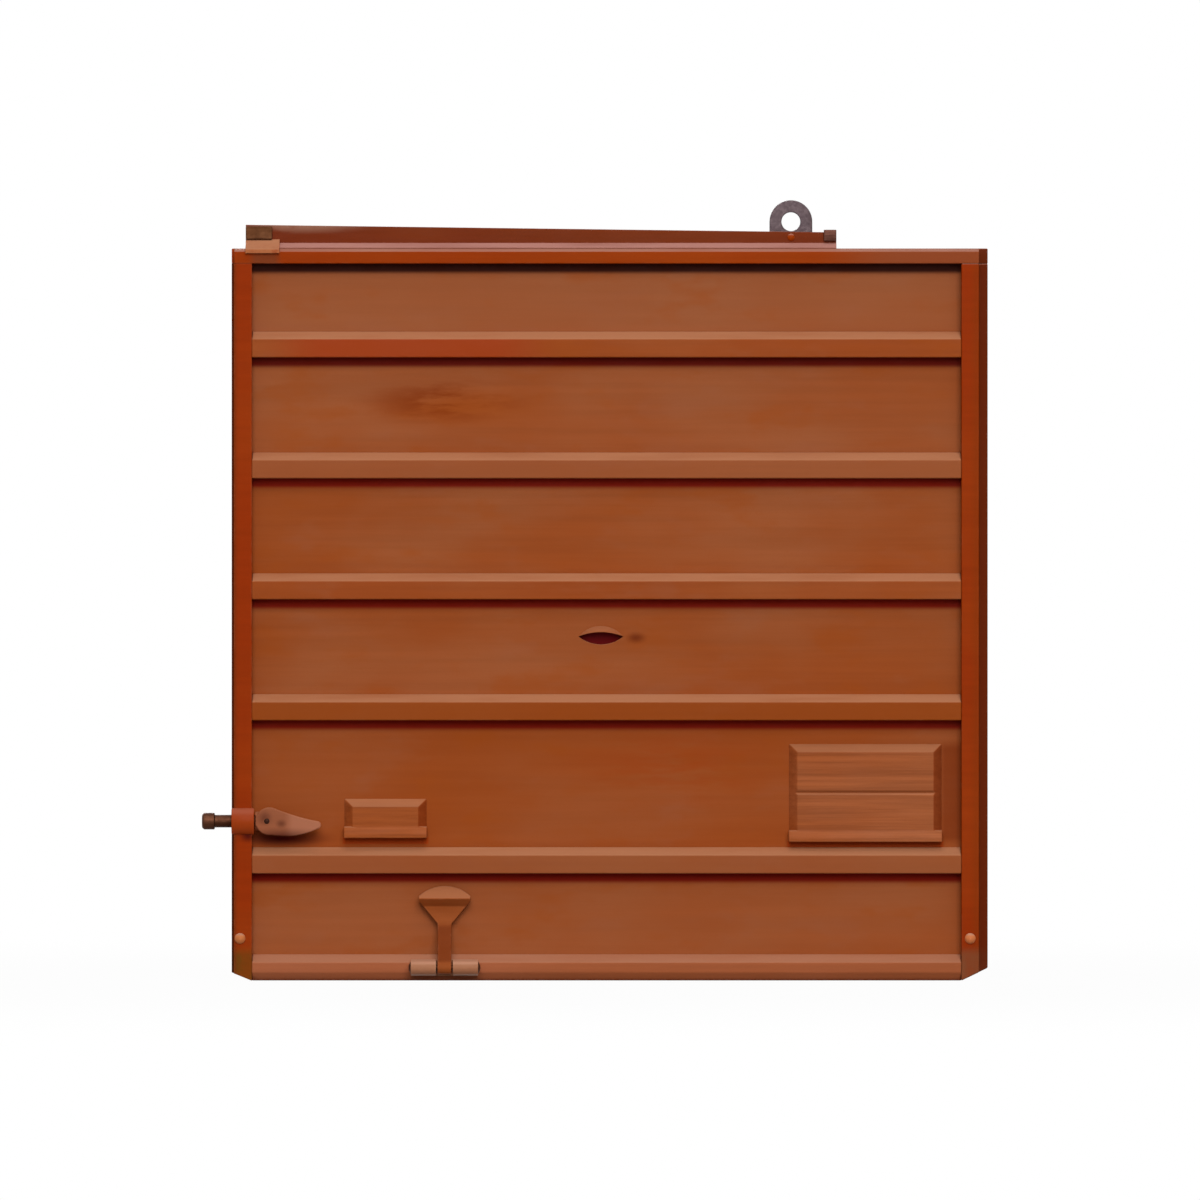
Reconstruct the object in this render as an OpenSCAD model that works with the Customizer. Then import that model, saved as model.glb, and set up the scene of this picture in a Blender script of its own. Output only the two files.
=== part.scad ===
// Sliding door of a 1:48 model box car: a backing sheet with a raised frame and five ribs,
// two tack boards, a sliding latch, a hinged lift lever and a hanger bar along the top edge.
// X runs across the leaf, Z is up, and the ribbed face looks towards -Y.
// The origin is the middle of the sheet's bottom edge.

/* [Leaf] */
// Width of the leaf over its two stiles
leaf_w = 60; // [50:0.5:90]
// Thickness of the backing sheet
sheet_t = 1; // [0.8:0.1:1.6]
// Rise of the slanted cut at the foot of the left stile
left_foot_rise = 0.65; // [0.3:0.05:2]
// Rise of the slanted cut at the foot of the right stile
right_foot_rise = 1; // [0.3:0.05:2]

/* [Panels] */
// Clear height of the top panel
top_panel_h = 5.35; // [3:0.05:12]
// Clear height of each of the three middle panels
middle_panel_h = 7.5; // [5:0.1:14]
// Clear height of the bottom panel
bottom_panel_h = 6.4; // [4:0.1:12]
// Room between the placard board and the rib above it
placard_room = 1.85; // [0.5:0.05:6]
// Gap between the placard board and the rib below it
placard_gap = 0.4; // [0.2:0.05:2]

/* [Frame and ribs] */
// Depth of the stiles, rails and ribs in front of the sheet
frame_depth = 1.2; // [1:0.1:2]
// Width of the left stile
left_stile_w = 1.6; // [1.4:0.1:3]
// Width of the right stile
right_stile_w = 2.1; // [1.6:0.1:4]
// Width of the low flange along the outer edge of the left stile
left_flange_w = 0.2; // [0.1:0.05:0.5]
// Width of the low flange along the outer edge of the right stile
right_flange_w = 0.7; // [0.2:0.05:0.7]
// Step from the face of a stile back to its flange
flange_step = 0.5; // [0.2:0.05:0.9]
// Height of the top rail
top_rail_h = 1.2; // [0.9:0.05:3]
// Height of the sloping upper face of the top rail
top_slope_h = 0.25; // [0.2:0.05:0.7]
// Depth of the sloping upper face of the top rail
top_slope_depth = 0.5; // [0.2:0.05:0.8]
// Height of the bottom rail
bottom_rail_h = 2.1; // [1.8:0.1:4]
// Height of the chamfer under the bottom rail
sill_chamfer_h = 0.65; // [0.2:0.05:0.8]
// Depth of the chamfer under the bottom rail
sill_chamfer_depth = 0.5; // [0.2:0.05:0.9]
// Height of a rib
rib_h = 2.1; // [1.2:0.1:4]
// Height of the sloping upper face of a rib and of the bottom rail
rib_slope_h = 0.65; // [0.3:0.05:0.9]

/* [Tack boards] */
// Width of the placard board
placard_w = 12.2; // [6:0.1:18]
// Height of the placard board
placard_h = 7.8; // [5:0.1:14]
// Distance from the placard board to the right edge of the leaf
placard_from_right = 3.6; // [2.5:0.1:12]
// Width of the routing board
routing_w = 6.6; // [3:0.1:10]
// Height of the routing board
routing_h = 3.15; // [2:0.05:5]
// Distance from the routing board to the left edge of the leaf
routing_from_left = 8.9; // [8:0.1:14]
// Gap between the routing board and the rib below it
routing_gap = 0.7; // [0.2:0.05:2]
// Thickness of both boards
board_t = 0.7; // [0.4:0.05:1]
// Width of the bevel along the top and the sides of a board
board_bevel = 0.7; // [0.1:0.05:0.9]
// Height of the ledge along the bottom of a board
ledge_h = 0.9; // [0.5:0.05:1.1]
// Height of the upright edge of the ledge, below its sloping top
ledge_edge_h = 0.3; // [0.1:0.05:0.4]
// Depth of the ledge in front of the face of the board
ledge_depth = 0.25; // [0.1:0.05:0.5]
// Width of the groove between the two planks of the placard board
plank_groove = 0.35; // [0.1:0.05:0.6]

/* [Finger pull] */
// Distance of the pull to the right of the middle of the leaf
pull_x = -0.7; // [-6:0.1:6]
// Drop from the rib above to the top of the hood
pull_drop = 2.1; // [0.5:0.1:2.5]
// Radius of the circle that the hood is cut from
hood_r = 2.3; // [1.6:0.1:3]
// Height of the hood
hood_h = 0.85; // [0.5:0.05:1.4]
// Rise of the arched lip of the hood
lip_arch = 0.35; // [0.1:0.05:0.4]
// Depth that the whole round hood would stand out
hood_depth = 1.1; // [0.8:0.05:1.4]
// Wall of the hood
hood_wall = 0.3; // [0.2:0.05:0.5]
// Depth of the finger pocket under the hood
pocket_depth = 0.6; // [0.2:0.05:0.7]
// Drop of the pocket below the ends of the lip
pocket_drop = 0.65; // [0.5:0.05:1.5]

/* [Latch] */
// Radius of the bolt
bolt_r = 0.5; // [0.35:0.05:0.7]
// Reach of the bolt beyond the edge of the leaf when it is thrown
bolt_reach = 2.35; // [1.8:0.05:4]
// Step from the bolt up to its knob
knob_step = 0.16; // [0.1:0.01:0.3]
// Length of the knob at the end of the bolt
knob_l = 1; // [0.6:0.05:1.4]
// Chamfer at the tip of the knob
knob_chamfer = 0.15; // [0.05:0.05:0.3]
// Running clearance round the bolt
bolt_clearance = 0.05; // [0.02:0.01:0.1]
// Wall of the guide saddle over the bolt
guide_wall = 0.6; // [0.3:0.05:0.9]
// Length of the guide saddle that reaches past the stile
guide_reach = 0.2; // [0:0.05:1]
// Distance from the face of the stile back to the line of the bolt
latch_sink = 0.45; // [0.1:0.05:0.5]
// Height of the bolt above the rib below it
latch_rise = 2.05; // [1.5:0.05:4]
// Gap between the guide and the thumb piece when the bolt is thrown
latch_gap = 0.1; // [0.05:0.05:0.5]
// Length of the thumb piece
thumb_l = 5.2; // [4.5:0.1:9]
// Radius of the broad end of the thumb piece
thumb_r = 1.1; // [0.9:0.05:1.4]
// Radius of the tip of the thumb piece
thumb_tip_r = 0.3; // [0.2:0.05:0.5]
// Rise of the broad end above the line of the bolt
thumb_rise = 0; // [0:0.05:0.5]
// Drop of the tip below the line of the bolt
thumb_drop = 0.3; // [0:0.02:0.4]
// Dip of the hollow in the upper edge of the thumb piece
thumb_hollow = 0.1; // [0.05:0.05:0.4]
// Bulge of the lower edge of the thumb piece
thumb_belly = 0.3; // [0.1:0.05:0.5]
// Thickness of the thumb piece at its upper edge
thumb_t = 0.3; // [0.2:0.05:0.8]
// Depth that the sloping face of the thumb piece gains from its upper to its lower edge
thumb_slope_depth = 0.15; // [0.05:0.05:1]
// Length of the socket that holds the end of the bolt
socket_l = 2.2; // [1.5:0.1:4]
// End wall of the socket
socket_end = 0.4; // [0.2:0.05:0.8]
// Wall of the socket round the bolt
socket_wall = 0.25; // [0.2:0.05:0.5]
// Clearance between the thumb piece and the sheet and the ledge of the routing board
thumb_clearance = 0.1; // [0.1:0.05:0.6]
// Radius of the pin across the socket
cross_pin_r = 0.2; // [0.1:0.02:0.24]

/* [Lift lever] */
// Distance from the lever to the left edge of the leaf
lever_from_left = 16.9; // [10:0.1:25]
// Length of the lever from its pivot to the top of its head
lever_l = 6.45; // [5:0.05:10]
// Width of the lever's head
head_w = 4.1; // [2.5:0.1:6]
// Height of the arch over the head
head_arch = 0.8; // [0.4:0.05:1.2]
// Height of the straight ends of the head
head_end_h = 0.4; // [0.2:0.05:0.8]
// Height of the flare below the head
head_flare_h = 1.8; // [0.8:0.05:2.5]
// Distance that the head stands out in front of the stem
head_nose = 0.6; // [0.2:0.05:0.8]
// Width of the lever's stem
stem_w = 1.1; // [0.7:0.05:2]
// Thickness of the lever
lever_t = 0.5; // [0.4:0.05:1]
// Distance that the stem leans back towards the sheet
stem_lean = 1.5; // [0:0.05:1.6]
// Radius of the lever's foot round the pivot pin
foot_r = 0.48; // [0.4:0.02:0.8]
// Radius of the pivot pin
pivot_r = 0.25; // [0.15:0.05:0.3]
// Running clearance round the pivot pin
pivot_clearance = 0.03; // [0.02:0.01:0.08]
// Thickness of the bracket's base plate
bracket_t = 0.25; // [0.2:0.05:0.6]
// Width of each ear of the bracket
ear_w = 2; // [0.6:0.1:3]
// Gap between the lever's foot and the bracket
foot_gap = 0.12; // [0.08:0.02:0.3]

/* [Hanger] */
// Distance from the hanger bar to the left edge of the leaf
hanger_from_left = 1.1; // [0.5:0.1:5]
// Distance from the hanger bar to the right edge of the leaf
hanger_from_right = 12; // [4:0.5:20]
// Thickness of the foot of the hanger bar
hanger_foot_t = 0.45; // [0.4:0.05:1]
// Height of the upright front edge of the foot, below its sloping top
hanger_edge_h = 0.05; // [0.05:0.05:0.3]
// Thickness of the upright web of the hanger bar
web_t = 0.5; // [0.4:0.05:0.7]
// Height of the web over the leaf at its left end
web_left_h = 1.9; // [1.6:0.05:3]
// Height of the web over the leaf at its right end
web_right_h = 1.3; // [1.2:0.05:2.5]
// Outer radius of the eye
eye_r = 1.7; // [1.3:0.05:2.5]
// Radius of the hole in the eye
eye_hole_r = 0.75; // [0.6:0.05:1]
// Thickness of the eye
eye_t = 0.6; // [0.4:0.05:0.8]
// Distance from the eye to the right end of the hanger bar
eye_from_end = 3.6; // [3:0.1:8]
// Clearance between the hole in the eye and the top of the web
eye_clearance = 0.06; // [0.02:0.02:0.3]
// Width of the clip at the left end of the bar
clip_w = 2.7; // [1.5:0.1:5]
// Thickness of the clip
clip_t = 0.3; // [0.2:0.05:0.5]
// Drop of the clip over the face of the top rail, below its slope
clip_drop = 0.15; // [0.1:0.05:0.6]
// Width of the left end stop
left_stop_w = 2.1; // [1:0.1:3]
// Height of the left end stop
left_stop_h = 1; // [0.5:0.05:2]
// Width of the right end stop
right_stop_w = 1; // [0.6:0.1:1.5]
// Height of the right end stop
right_stop_h = 0.9; // [0.8:0.05:2]
// Gap between the right end stop and the foot of the hanger bar
right_stop_gap = 0.15; // [0:0.05:0.4]
// Depth of an end stop in front of the web
stop_depth = 0.25; // [0.15:0.05:0.5]

/* [Fasteners] */
// Height of the stile bolts above the bottom edge
stile_bolt_z = 3.35; // [2:0.05:6]
// Radius of the head of a stile bolt
stile_bolt_head_r = 0.45; // [0.3:0.05:0.5]
// Height of the head of a stile bolt
stile_bolt_head_h = 0.3; // [0.2:0.05:0.4]
// Radius of the shank of a bolt or rivet
shank_r = 0.2; // [0.12:0.02:0.25]
// Radius of the head of the eye's rivet
rivet_head_r = 0.32; // [0.25:0.01:0.4]
// Height of the head of a rivet or of the pivot pin
rivet_head_h = 0.18; // [0.1:0.02:0.3]
// Fitting clearance of pins and shanks that stay put
fit_clearance = 0.02; // [0.01:0.01:0.05]

/* [Hidden] */
$fn = 48;
rib_count = 5;
brown = [0.58, 0.3, 0.17];
red_brown = [0.57, 0.22, 0.06];
bare_steel = [0.46, 0.42, 0.41];
dark_steel = [0.28, 0.17, 0.12];

// Planes of the leaf, from back to front
back_y = sheet_t / 2;
sheet_y = -sheet_t / 2;
frame_y = sheet_y - frame_depth;
board_y = sheet_y - board_t;
ledge_y = board_y - ledge_depth;

// Edges of the leaf
left_x = -leaf_w / 2;
right_x = leaf_w / 2;
panel_left_x = left_x + left_stile_w;
panel_right_x = right_x - right_stile_w;

// Heights, from the bottom edge up
board_panel_h = placard_gap + placard_h + placard_room;
rib_5_z = bottom_rail_h + bottom_panel_h;
board_panel_z = rib_5_z + rib_h;
rib_4_z = board_panel_z + board_panel_h;
function rib_z(i) = i == rib_count ? rib_5_z : rib_4_z + (rib_count - 1 - i) * (rib_h + middle_panel_h);
top_rail_z = rib_z(1) + rib_h + top_panel_h;
leaf_h = top_rail_z + top_rail_h;

// Finger pull: the hood is a slice of a spherical shell with an arched lip, and the pocket is lens-shaped
hood_top_z = rib_z(3) - pull_drop;
hood_lip_z = hood_top_z - hood_h;
hood_sphere_r = (hood_r ^ 2 + hood_depth ^ 2) / (2 * hood_depth);
hood_lip_half = sqrt(hood_r ^ 2 - (hood_r - hood_h) ^ 2);
pocket_r = (hood_lip_half ^ 2 + pocket_drop ^ 2) / (2 * pocket_drop);
lip_r = (hood_lip_half ^ 2 + lip_arch ^ 2) / (2 * lip_arch);

// Latch: the bolt runs in a channel in the stile, which the saddle closes
latch_y = frame_y + latch_sink;
latch_z = board_panel_z + latch_rise;
knob_r = bolt_r + knob_step;
bolt_bore_r = bolt_r + bolt_clearance;
saddle_r = bolt_bore_r + guide_wall;
saddle_l = left_stile_w + guide_reach;
thumb_x = left_x + saddle_l + latch_gap;
socket_r = bolt_r + socket_wall;
socket_back_y = sheet_y - thumb_clearance;
socket_bore_l = socket_l - socket_end;
thumb_top_z = latch_z + thumb_rise + thumb_r;
blade_back_y = ledge_y - thumb_clearance;
function thumb_face_y(z) = blade_back_y - thumb_t - thumb_slope_depth * (thumb_top_z - z) / (2 * thumb_r);

// Lift lever: the pivot stands in front of the flat face of the bottom rail
lever_x = left_x + lever_from_left;
sill_face_top_z = bottom_rail_h - rib_slope_h;
pivot_z = (sill_chamfer_h + sill_face_top_z) / 2;
pivot_y = frame_y - bracket_t - foot_gap - foot_r;
bracket_h = sill_face_top_z - sill_chamfer_h + 2 * bracket_t;
ear_x = stem_w / 2 + foot_gap;
bracket_half_w = ear_x + ear_w;
head_z = lever_l - head_arch - head_end_h;
head_arch_r = ((head_w / 2) ^ 2 + head_arch ^ 2) / (2 * head_arch);
neck_z = head_z - head_flare_h;
nose_z = head_z + head_end_h / 2;
undercut_z = nose_z - head_nose;
stem_foot_z = bracket_h / 2 + foot_gap;
pin_bore_r = pivot_r + pivot_clearance;

// Hanger: an upturned tee on the top edge, with the eye let in behind its web
hanger_left_x = left_x + hanger_from_left;
hanger_right_x = right_x - hanger_from_right;
hanger_l = hanger_right_x - hanger_left_x;
hanger_foot_y = frame_y + top_slope_depth;
hanger_top_z = leaf_h + hanger_foot_t;
web_back_y = back_y - eye_t;
web_front_y = web_back_y - web_t;
eye_x = hanger_right_x - eye_from_end;
function web_h(x) = web_left_h + (web_right_h - web_left_h) * (x - hanger_left_x) / hanger_l;
eye_z = leaf_h + web_h(eye_x - eye_hole_r) + eye_clearance + eye_hole_r;
eye_rivet_z = (hanger_top_z + leaf_h + web_h(eye_x)) / 2;
foot_slope_h = hanger_foot_t - hanger_edge_h;
foot_slope_depth = web_front_y - hanger_foot_y;
clip_top_z = hanger_top_z + clip_t;
clip_bend_z = leaf_h - top_slope_h;
clip_shoulder_z = clip_top_z - foot_slope_h * (foot_slope_depth + clip_t) / foot_slope_depth;

// Stile bolts: on the left at the outer edge of the stile's raised part, on the right in its middle
left_bolt_x = left_x + left_flange_w + stile_bolt_head_r + fit_clearance;
right_bolt_x = right_x - (right_flange_w + right_stile_w) / 2;

// Length of a pin or shank inside its own head
head_root = rivet_head_h / 4;

// A length well past the whole depth of the leaf, for cuts that go right through
through = 4 * (sheet_t + frame_depth);

// A section drawn as (y, z), run along X
module along_x(x, length) {
  translate([x, 0, 0])
    rotate([90, 0, 90])
      linear_extrude(length)
        children();
}

// An outline drawn as (x, z), run towards the front from the plane y
module forward(y, length) {
  translate([0, y, 0])
    rotate([90, 0, 0])
      linear_extrude(length)
        children();
}

// A round bar along X
module x_bar(r, x, length, y, z) {
  translate([x, y, z])
    rotate([0, 90, 0])
      cylinder(r = r, h = length);
}

// A round bar from the plane y towards the front
module y_bar(r, x, z, y, length) {
  translate([x, y, z])
    rotate([90, 0, 0])
      cylinder(r = r, h = length);
}

// A low round head on the XY plane, rising along Z
module button_head(r, h) {
  ball_r = (r ^ 2 + h ^ 2) / (2 * h);
  intersection() {
    translate([0, 0, h - ball_r])
      sphere(r = ball_r);
    cylinder(r = 2 * r, h = h);
  }
}

// A bolt or rivet whose head sits on the plane y and whose shank runs to the back of the leaf
module headed_shank(x, z, y, head_r, head_h) {
  translate([x, y, z])
    rotate([90, 0, 0])
      button_head(head_r, head_h);
  y_bar(shank_r, x, z, back_y, back_y - y + head_root);
}

// The front outline of the leaf, with a slanted cut at each foot
module leaf_outline() {
  polygon([
    [panel_left_x, 0],
    [panel_right_x, 0],
    [right_x, right_foot_rise],
    [right_x, leaf_h],
    [left_x, leaf_h],
    [left_x, left_foot_rise]
  ]);
}

// The holes of the two stile bolts
module stile_bolt_holes() {
  for (x = [left_bolt_x, right_bolt_x])
    y_bar(shank_r + fit_clearance, x, stile_bolt_z, through / 2, through);
}

// The section of a rib or of the bottom rail, standing on the height z
module rib_section(z, h, chamfer_h = 0, chamfer_depth = 0) {
  lower = chamfer_h > 0
    ? [[frame_y + chamfer_depth, z], [frame_y, z + chamfer_h]]
    : [[frame_y, z]];
  polygon(concat(
    [[sheet_y, z]],
    lower,
    [[frame_y, z + h - rib_slope_h], [sheet_y, z + h]]
  ));
}

// A stile for the right edge: a raised bar with a low flange outside it
module stile_bar(stile_w, flange_w, foot_rise) {
  intersection() {
    linear_extrude(top_rail_z)
      polygon([
        [right_x - stile_w, sheet_y],
        [right_x, sheet_y],
        [right_x, frame_y + flange_step],
        [right_x - flange_w, frame_y + flange_step],
        [right_x - flange_w, frame_y],
        [right_x - stile_w, frame_y]
      ]);
    forward(sheet_y, frame_depth)
      polygon([
        [right_x - stile_w, 0],
        [right_x, foot_rise],
        [right_x, top_rail_z],
        [right_x - stile_w, top_rail_z]
      ]);
  }
}

// A board on the sheet with a bevelled top and sides, and a square-ended ledge along its bottom
module tack_board(x, z, w, h) {
  intersection() {
    along_x(x, w)
      polygon([
        [sheet_y, z],
        [board_y, z],
        [board_y, z + h - board_bevel],
        [sheet_y, z + h]
      ]);
    translate([0, 0, z])
      linear_extrude(h)
        polygon([
          [x, sheet_y],
          [x + board_bevel, board_y],
          [x + w - board_bevel, board_y],
          [x + w, sheet_y]
        ]);
  }
  along_x(x, w)
    polygon([
      [sheet_y, z],
      [ledge_y, z],
      [ledge_y, z + ledge_edge_h],
      [board_y, z + ledge_h],
      [sheet_y, z + ledge_h]
    ]);
}

// The circle whose top is the arched lip of the finger pull
module lip_circle() {
  translate([pull_x, hood_lip_z + lip_arch - lip_r])
    circle(r = lip_r);
}

module door_sheet() {
  color(brown)
    difference() {
      forward(back_y, sheet_t)
        leaf_outline();
      stile_bolt_holes();
      // Finger pocket under the hood
      forward(sheet_y + pocket_depth, 2 * pocket_depth)
        intersection() {
          translate([pull_x, hood_lip_z - pocket_drop + pocket_r])
            circle(r = pocket_r);
          lip_circle();
        }
    }
}

// The channel of the bolt: a round bed, open to the front
module bolt_channel() {
  x = left_x - left_stile_w;
  length = 3 * left_stile_w;
  x_bar(bolt_bore_r, x, length, latch_y, latch_z);
  translate([x, latch_y - through, latch_z - bolt_bore_r])
    cube([length, through, 2 * bolt_bore_r]);
}

module left_stile() {
  color(red_brown)
    difference() {
      mirror([1, 0, 0])
        stile_bar(left_stile_w, left_flange_w, left_foot_rise);
      stile_bolt_holes();
      bolt_channel();
    }
}

module right_stile() {
  color(red_brown)
    difference() {
      stile_bar(right_stile_w, right_flange_w, right_foot_rise);
      stile_bolt_holes();
    }
}

// The flanges of the stiles run on through the ends of the top rail
module top_rail() {
  color(red_brown)
    intersection() {
      along_x(left_x, leaf_w)
        polygon([
          [sheet_y, top_rail_z],
          [frame_y, top_rail_z],
          [frame_y, leaf_h - top_slope_h],
          [hanger_foot_y, leaf_h],
          [sheet_y, leaf_h]
        ]);
      translate([0, 0, top_rail_z])
        linear_extrude(top_rail_h)
          polygon([
            [left_x, sheet_y],
            [right_x, sheet_y],
            [right_x, frame_y + flange_step],
            [right_x - right_flange_w, frame_y + flange_step],
            [right_x - right_flange_w, frame_y],
            [left_x + left_flange_w, frame_y],
            [left_x + left_flange_w, frame_y + flange_step],
            [left_x, frame_y + flange_step]
          ]);
    }
}

module bottom_rail() {
  color(brown)
    along_x(panel_left_x, panel_right_x - panel_left_x)
      rib_section(0, bottom_rail_h, sill_chamfer_h, sill_chamfer_depth);
}

module rib(i) {
  color(brown)
    along_x(panel_left_x, panel_right_x - panel_left_x)
      rib_section(rib_z(i), rib_h);
}

// Two planks with a vee groove between them
module placard_board() {
  x = right_x - placard_from_right - placard_w;
  z = board_panel_z + placard_gap;
  color(brown)
    difference() {
      tack_board(x, z, placard_w, placard_h);
      along_x(x, placard_w)
        translate([board_y, z + placard_h / 2])
          rotate(45)
            square(plank_groove / sqrt(2), center = true);
    }
}

module routing_board() {
  color(brown)
    tack_board(left_x + routing_from_left, board_panel_z + routing_gap, routing_w, routing_h);
}

// A slice of a spherical shell, open below
module finger_pull() {
  color(brown)
    intersection() {
      translate([pull_x, sheet_y - hood_depth + hood_sphere_r, hood_top_z - hood_r])
        difference() {
          sphere(r = hood_sphere_r);
          sphere(r = hood_sphere_r - hood_wall);
        }
      forward(sheet_y, 2 * hood_depth)
        difference() {
          translate([pull_x - hood_r, hood_lip_z])
            square([2 * hood_r, 2 * hood_h]);
          lip_circle();
        }
    }
}

// A round-backed saddle on the face of the left stile
module latch_guide() {
  color(red_brown)
    difference() {
      x_bar(saddle_r, left_x, saddle_l, latch_y, latch_z);
      x_bar(bolt_bore_r, left_x - saddle_l, 3 * saddle_l, latch_y, latch_z);
      translate([left_x - saddle_l, frame_y, latch_z - 2 * saddle_r])
        cube([3 * saddle_l, 2 * saddle_r, 4 * saddle_r]);
    }
}

module cross_pin_hole() {
  y_bar(cross_pin_r + fit_clearance, thumb_x + socket_bore_l / 2, latch_z, frame_y + through / 2, through);
}

// A turned bolt with a knob beyond the edge of the leaf, which stops it when it is drawn back
module latch_bolt() {
  tip_x = left_x - bolt_reach;
  end_x = thumb_x + socket_bore_l - fit_clearance;
  color(bare_steel)
    difference() {
      translate([tip_x, latch_y, latch_z])
        rotate([0, 90, 0])
          rotate_extrude()
            polygon([
              [0, 0],
              [knob_r - knob_chamfer, 0],
              [knob_r, knob_chamfer],
              [knob_r, knob_l],
              [bolt_r, knob_l],
              [bolt_r, end_x - tip_x],
              [0, end_x - tip_x]
            ]);
      cross_pin_hole();
    }
}

// The leaf-shaped outline of the thumb piece: a broad round end drawn out to a small round tip,
// with a hollow along its upper edge and a belly along its lower edge
module thumb_outline() {
  broad = [thumb_x + thumb_r, latch_z + thumb_rise];
  tip = [thumb_x + thumb_l - thumb_tip_r, latch_z - thumb_drop];
  span = norm(tip - broad);
  fall = atan2(tip[1] - broad[1], tip[0] - broad[0]);
  spread = acos((thumb_r - thumb_tip_r) / span);
  upper = [cos(fall + spread), sin(fall + spread)];
  lower = [cos(fall - spread), sin(fall - spread)];
  upper_start = broad + thumb_r * upper;
  upper_end = tip + thumb_tip_r * upper;
  lower_start = broad + thumb_r * lower;
  lower_end = tip + thumb_tip_r * lower;
  half_edge = norm(upper_end - upper_start) / 2;
  hollow_r = (half_edge ^ 2 + thumb_hollow ^ 2) / (2 * thumb_hollow);
  belly_r = (half_edge ^ 2 + thumb_belly ^ 2) / (2 * thumb_belly);
  difference() {
    union() {
      translate(broad)
        circle(r = thumb_r);
      translate(tip)
        circle(r = thumb_tip_r);
      polygon([upper_start, upper_end, lower_end, lower_start]);
      intersection() {
        translate((lower_start + lower_end) / 2 - (belly_r - thumb_belly) * lower)
          circle(r = belly_r);
        polygon([lower_start, lower_end, lower_end + thumb_r * lower, lower_start + thumb_r * lower]);
      }
    }
    translate((upper_start + upper_end) / 2 + (hollow_r - thumb_hollow) * upper)
      circle(r = hollow_r);
  }
}

// The side section of the thumb piece, whose face slopes out towards its lower edge
module thumb_section() {
  low_z = latch_z - 2 * thumb_r;
  high_z = latch_z + 2 * thumb_r;
  polygon([
    [socket_back_y, low_z],
    [thumb_face_y(low_z), low_z],
    [thumb_face_y(high_z), high_z],
    [socket_back_y, high_z]
  ]);
}

// A leaf in front of the routing board, on a socket that takes the end of the bolt
module thumb_piece() {
  color(red_brown)
    difference() {
      intersection() {
        union() {
          x_bar(socket_r, thumb_x, socket_l, latch_y, latch_z);
          forward(blade_back_y, through)
            thumb_outline();
        }
        along_x(thumb_x, thumb_l)
          thumb_section();
      }
      x_bar(bolt_r + fit_clearance, thumb_x - socket_bore_l, 2 * socket_bore_l, latch_y, latch_z);
      cross_pin_hole();
    }
}

module thumb_pin() {
  length = socket_back_y - thumb_face_y(latch_z);
  color(dark_steel)
    y_bar(cross_pin_r, thumb_x + socket_bore_l / 2, latch_z, socket_back_y, length);
}

// A base plate on the bottom rail with two ears for the pivot pin
module lever_bracket() {
  ear_r = foot_r + bracket_t / 4;
  color(brown)
    difference() {
      union() {
        translate([lever_x - bracket_half_w, frame_y - bracket_t, pivot_z - bracket_h / 2])
          cube([2 * bracket_half_w, bracket_t, bracket_h]);
        for (x = [-bracket_half_w, ear_x])
          along_x(lever_x + x, ear_w) {
            translate([pivot_y, pivot_z])
              circle(r = ear_r);
            polygon([
              [frame_y - bracket_t, pivot_z - bracket_h / 2],
              [frame_y - bracket_t, pivot_z + bracket_h / 2],
              [pivot_y, pivot_z + foot_r],
              [pivot_y, pivot_z - foot_r]
            ]);
          }
      }
      x_bar(pivot_r + fit_clearance, lever_x - 2 * bracket_half_w, 4 * bracket_half_w, pivot_y, pivot_z);
    }
}

// The front outline of the lever, drawn from its pivot: a stem that flares into an arched head
module lever_outline() {
  translate([-stem_w / 2, 0])
    square([stem_w, head_z]);
  intersection() {
    translate([0, lever_l - head_arch_r])
      circle(r = head_arch_r);
    polygon([
      [-stem_w / 2, neck_z],
      [stem_w / 2, neck_z],
      [head_w / 2, head_z],
      [head_w / 2, lever_l],
      [-head_w / 2, lever_l],
      [-head_w / 2, head_z]
    ]);
  }
}

// The side section of the lever, drawn from its pivot: above the bracket it leans back to its neck,
// and its head stands out in a nose with a sloping top and an undercut at 45 degrees
module lever_section() {
  half_t = lever_t / 2;
  polygon([
    [half_t, 0],
    [half_t, stem_foot_z],
    [half_t + stem_lean, neck_z],
    [half_t + stem_lean, lever_l],
    [stem_lean, lever_l],
    [stem_lean - half_t - head_nose, nose_z],
    [stem_lean - half_t, undercut_z],
    [stem_lean - half_t, neck_z],
    [-half_t, stem_foot_z],
    [-half_t, 0]
  ]);
}

module lift_lever() {
  color(brown)
    translate([lever_x, pivot_y, pivot_z])
      difference() {
        union() {
          intersection() {
            forward(lever_l, 2 * lever_l)
              lever_outline();
            along_x(-head_w, 2 * head_w)
              lever_section();
          }
          x_bar(foot_r, -stem_w / 2, stem_w, 0, 0);
        }
        x_bar(pin_bore_r, -stem_w, 2 * stem_w, 0, 0);
      }
}

// A plain pin with a round head against each ear
module lever_pin() {
  half_l = bracket_half_w + head_root;
  color(bare_steel) {
    x_bar(pivot_r, lever_x - half_l, 2 * half_l, pivot_y, pivot_z);
    for (side = [-1, 1])
      translate([lever_x + side * bracket_half_w, pivot_y, pivot_z])
        rotate([0, side * 90, 0])
          button_head(foot_r, rivet_head_h);
  }
}

// An upturned tee with a sloping foot, whose web falls slightly towards its right end
module hanger_bar() {
  color(brown)
    difference() {
      union() {
        along_x(hanger_left_x, hanger_l)
          polygon([
            [back_y, leaf_h],
            [hanger_foot_y, leaf_h],
            [hanger_foot_y, leaf_h + hanger_edge_h],
            [web_front_y, hanger_top_z],
            [back_y, hanger_top_z]
          ]);
        forward(web_back_y, web_t)
          polygon([
            [hanger_left_x, leaf_h],
            [hanger_right_x, leaf_h],
            [hanger_right_x, leaf_h + web_right_h],
            [hanger_left_x, leaf_h + web_left_h]
          ]);
      }
      eye_rivet_hole();
    }
}

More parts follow.
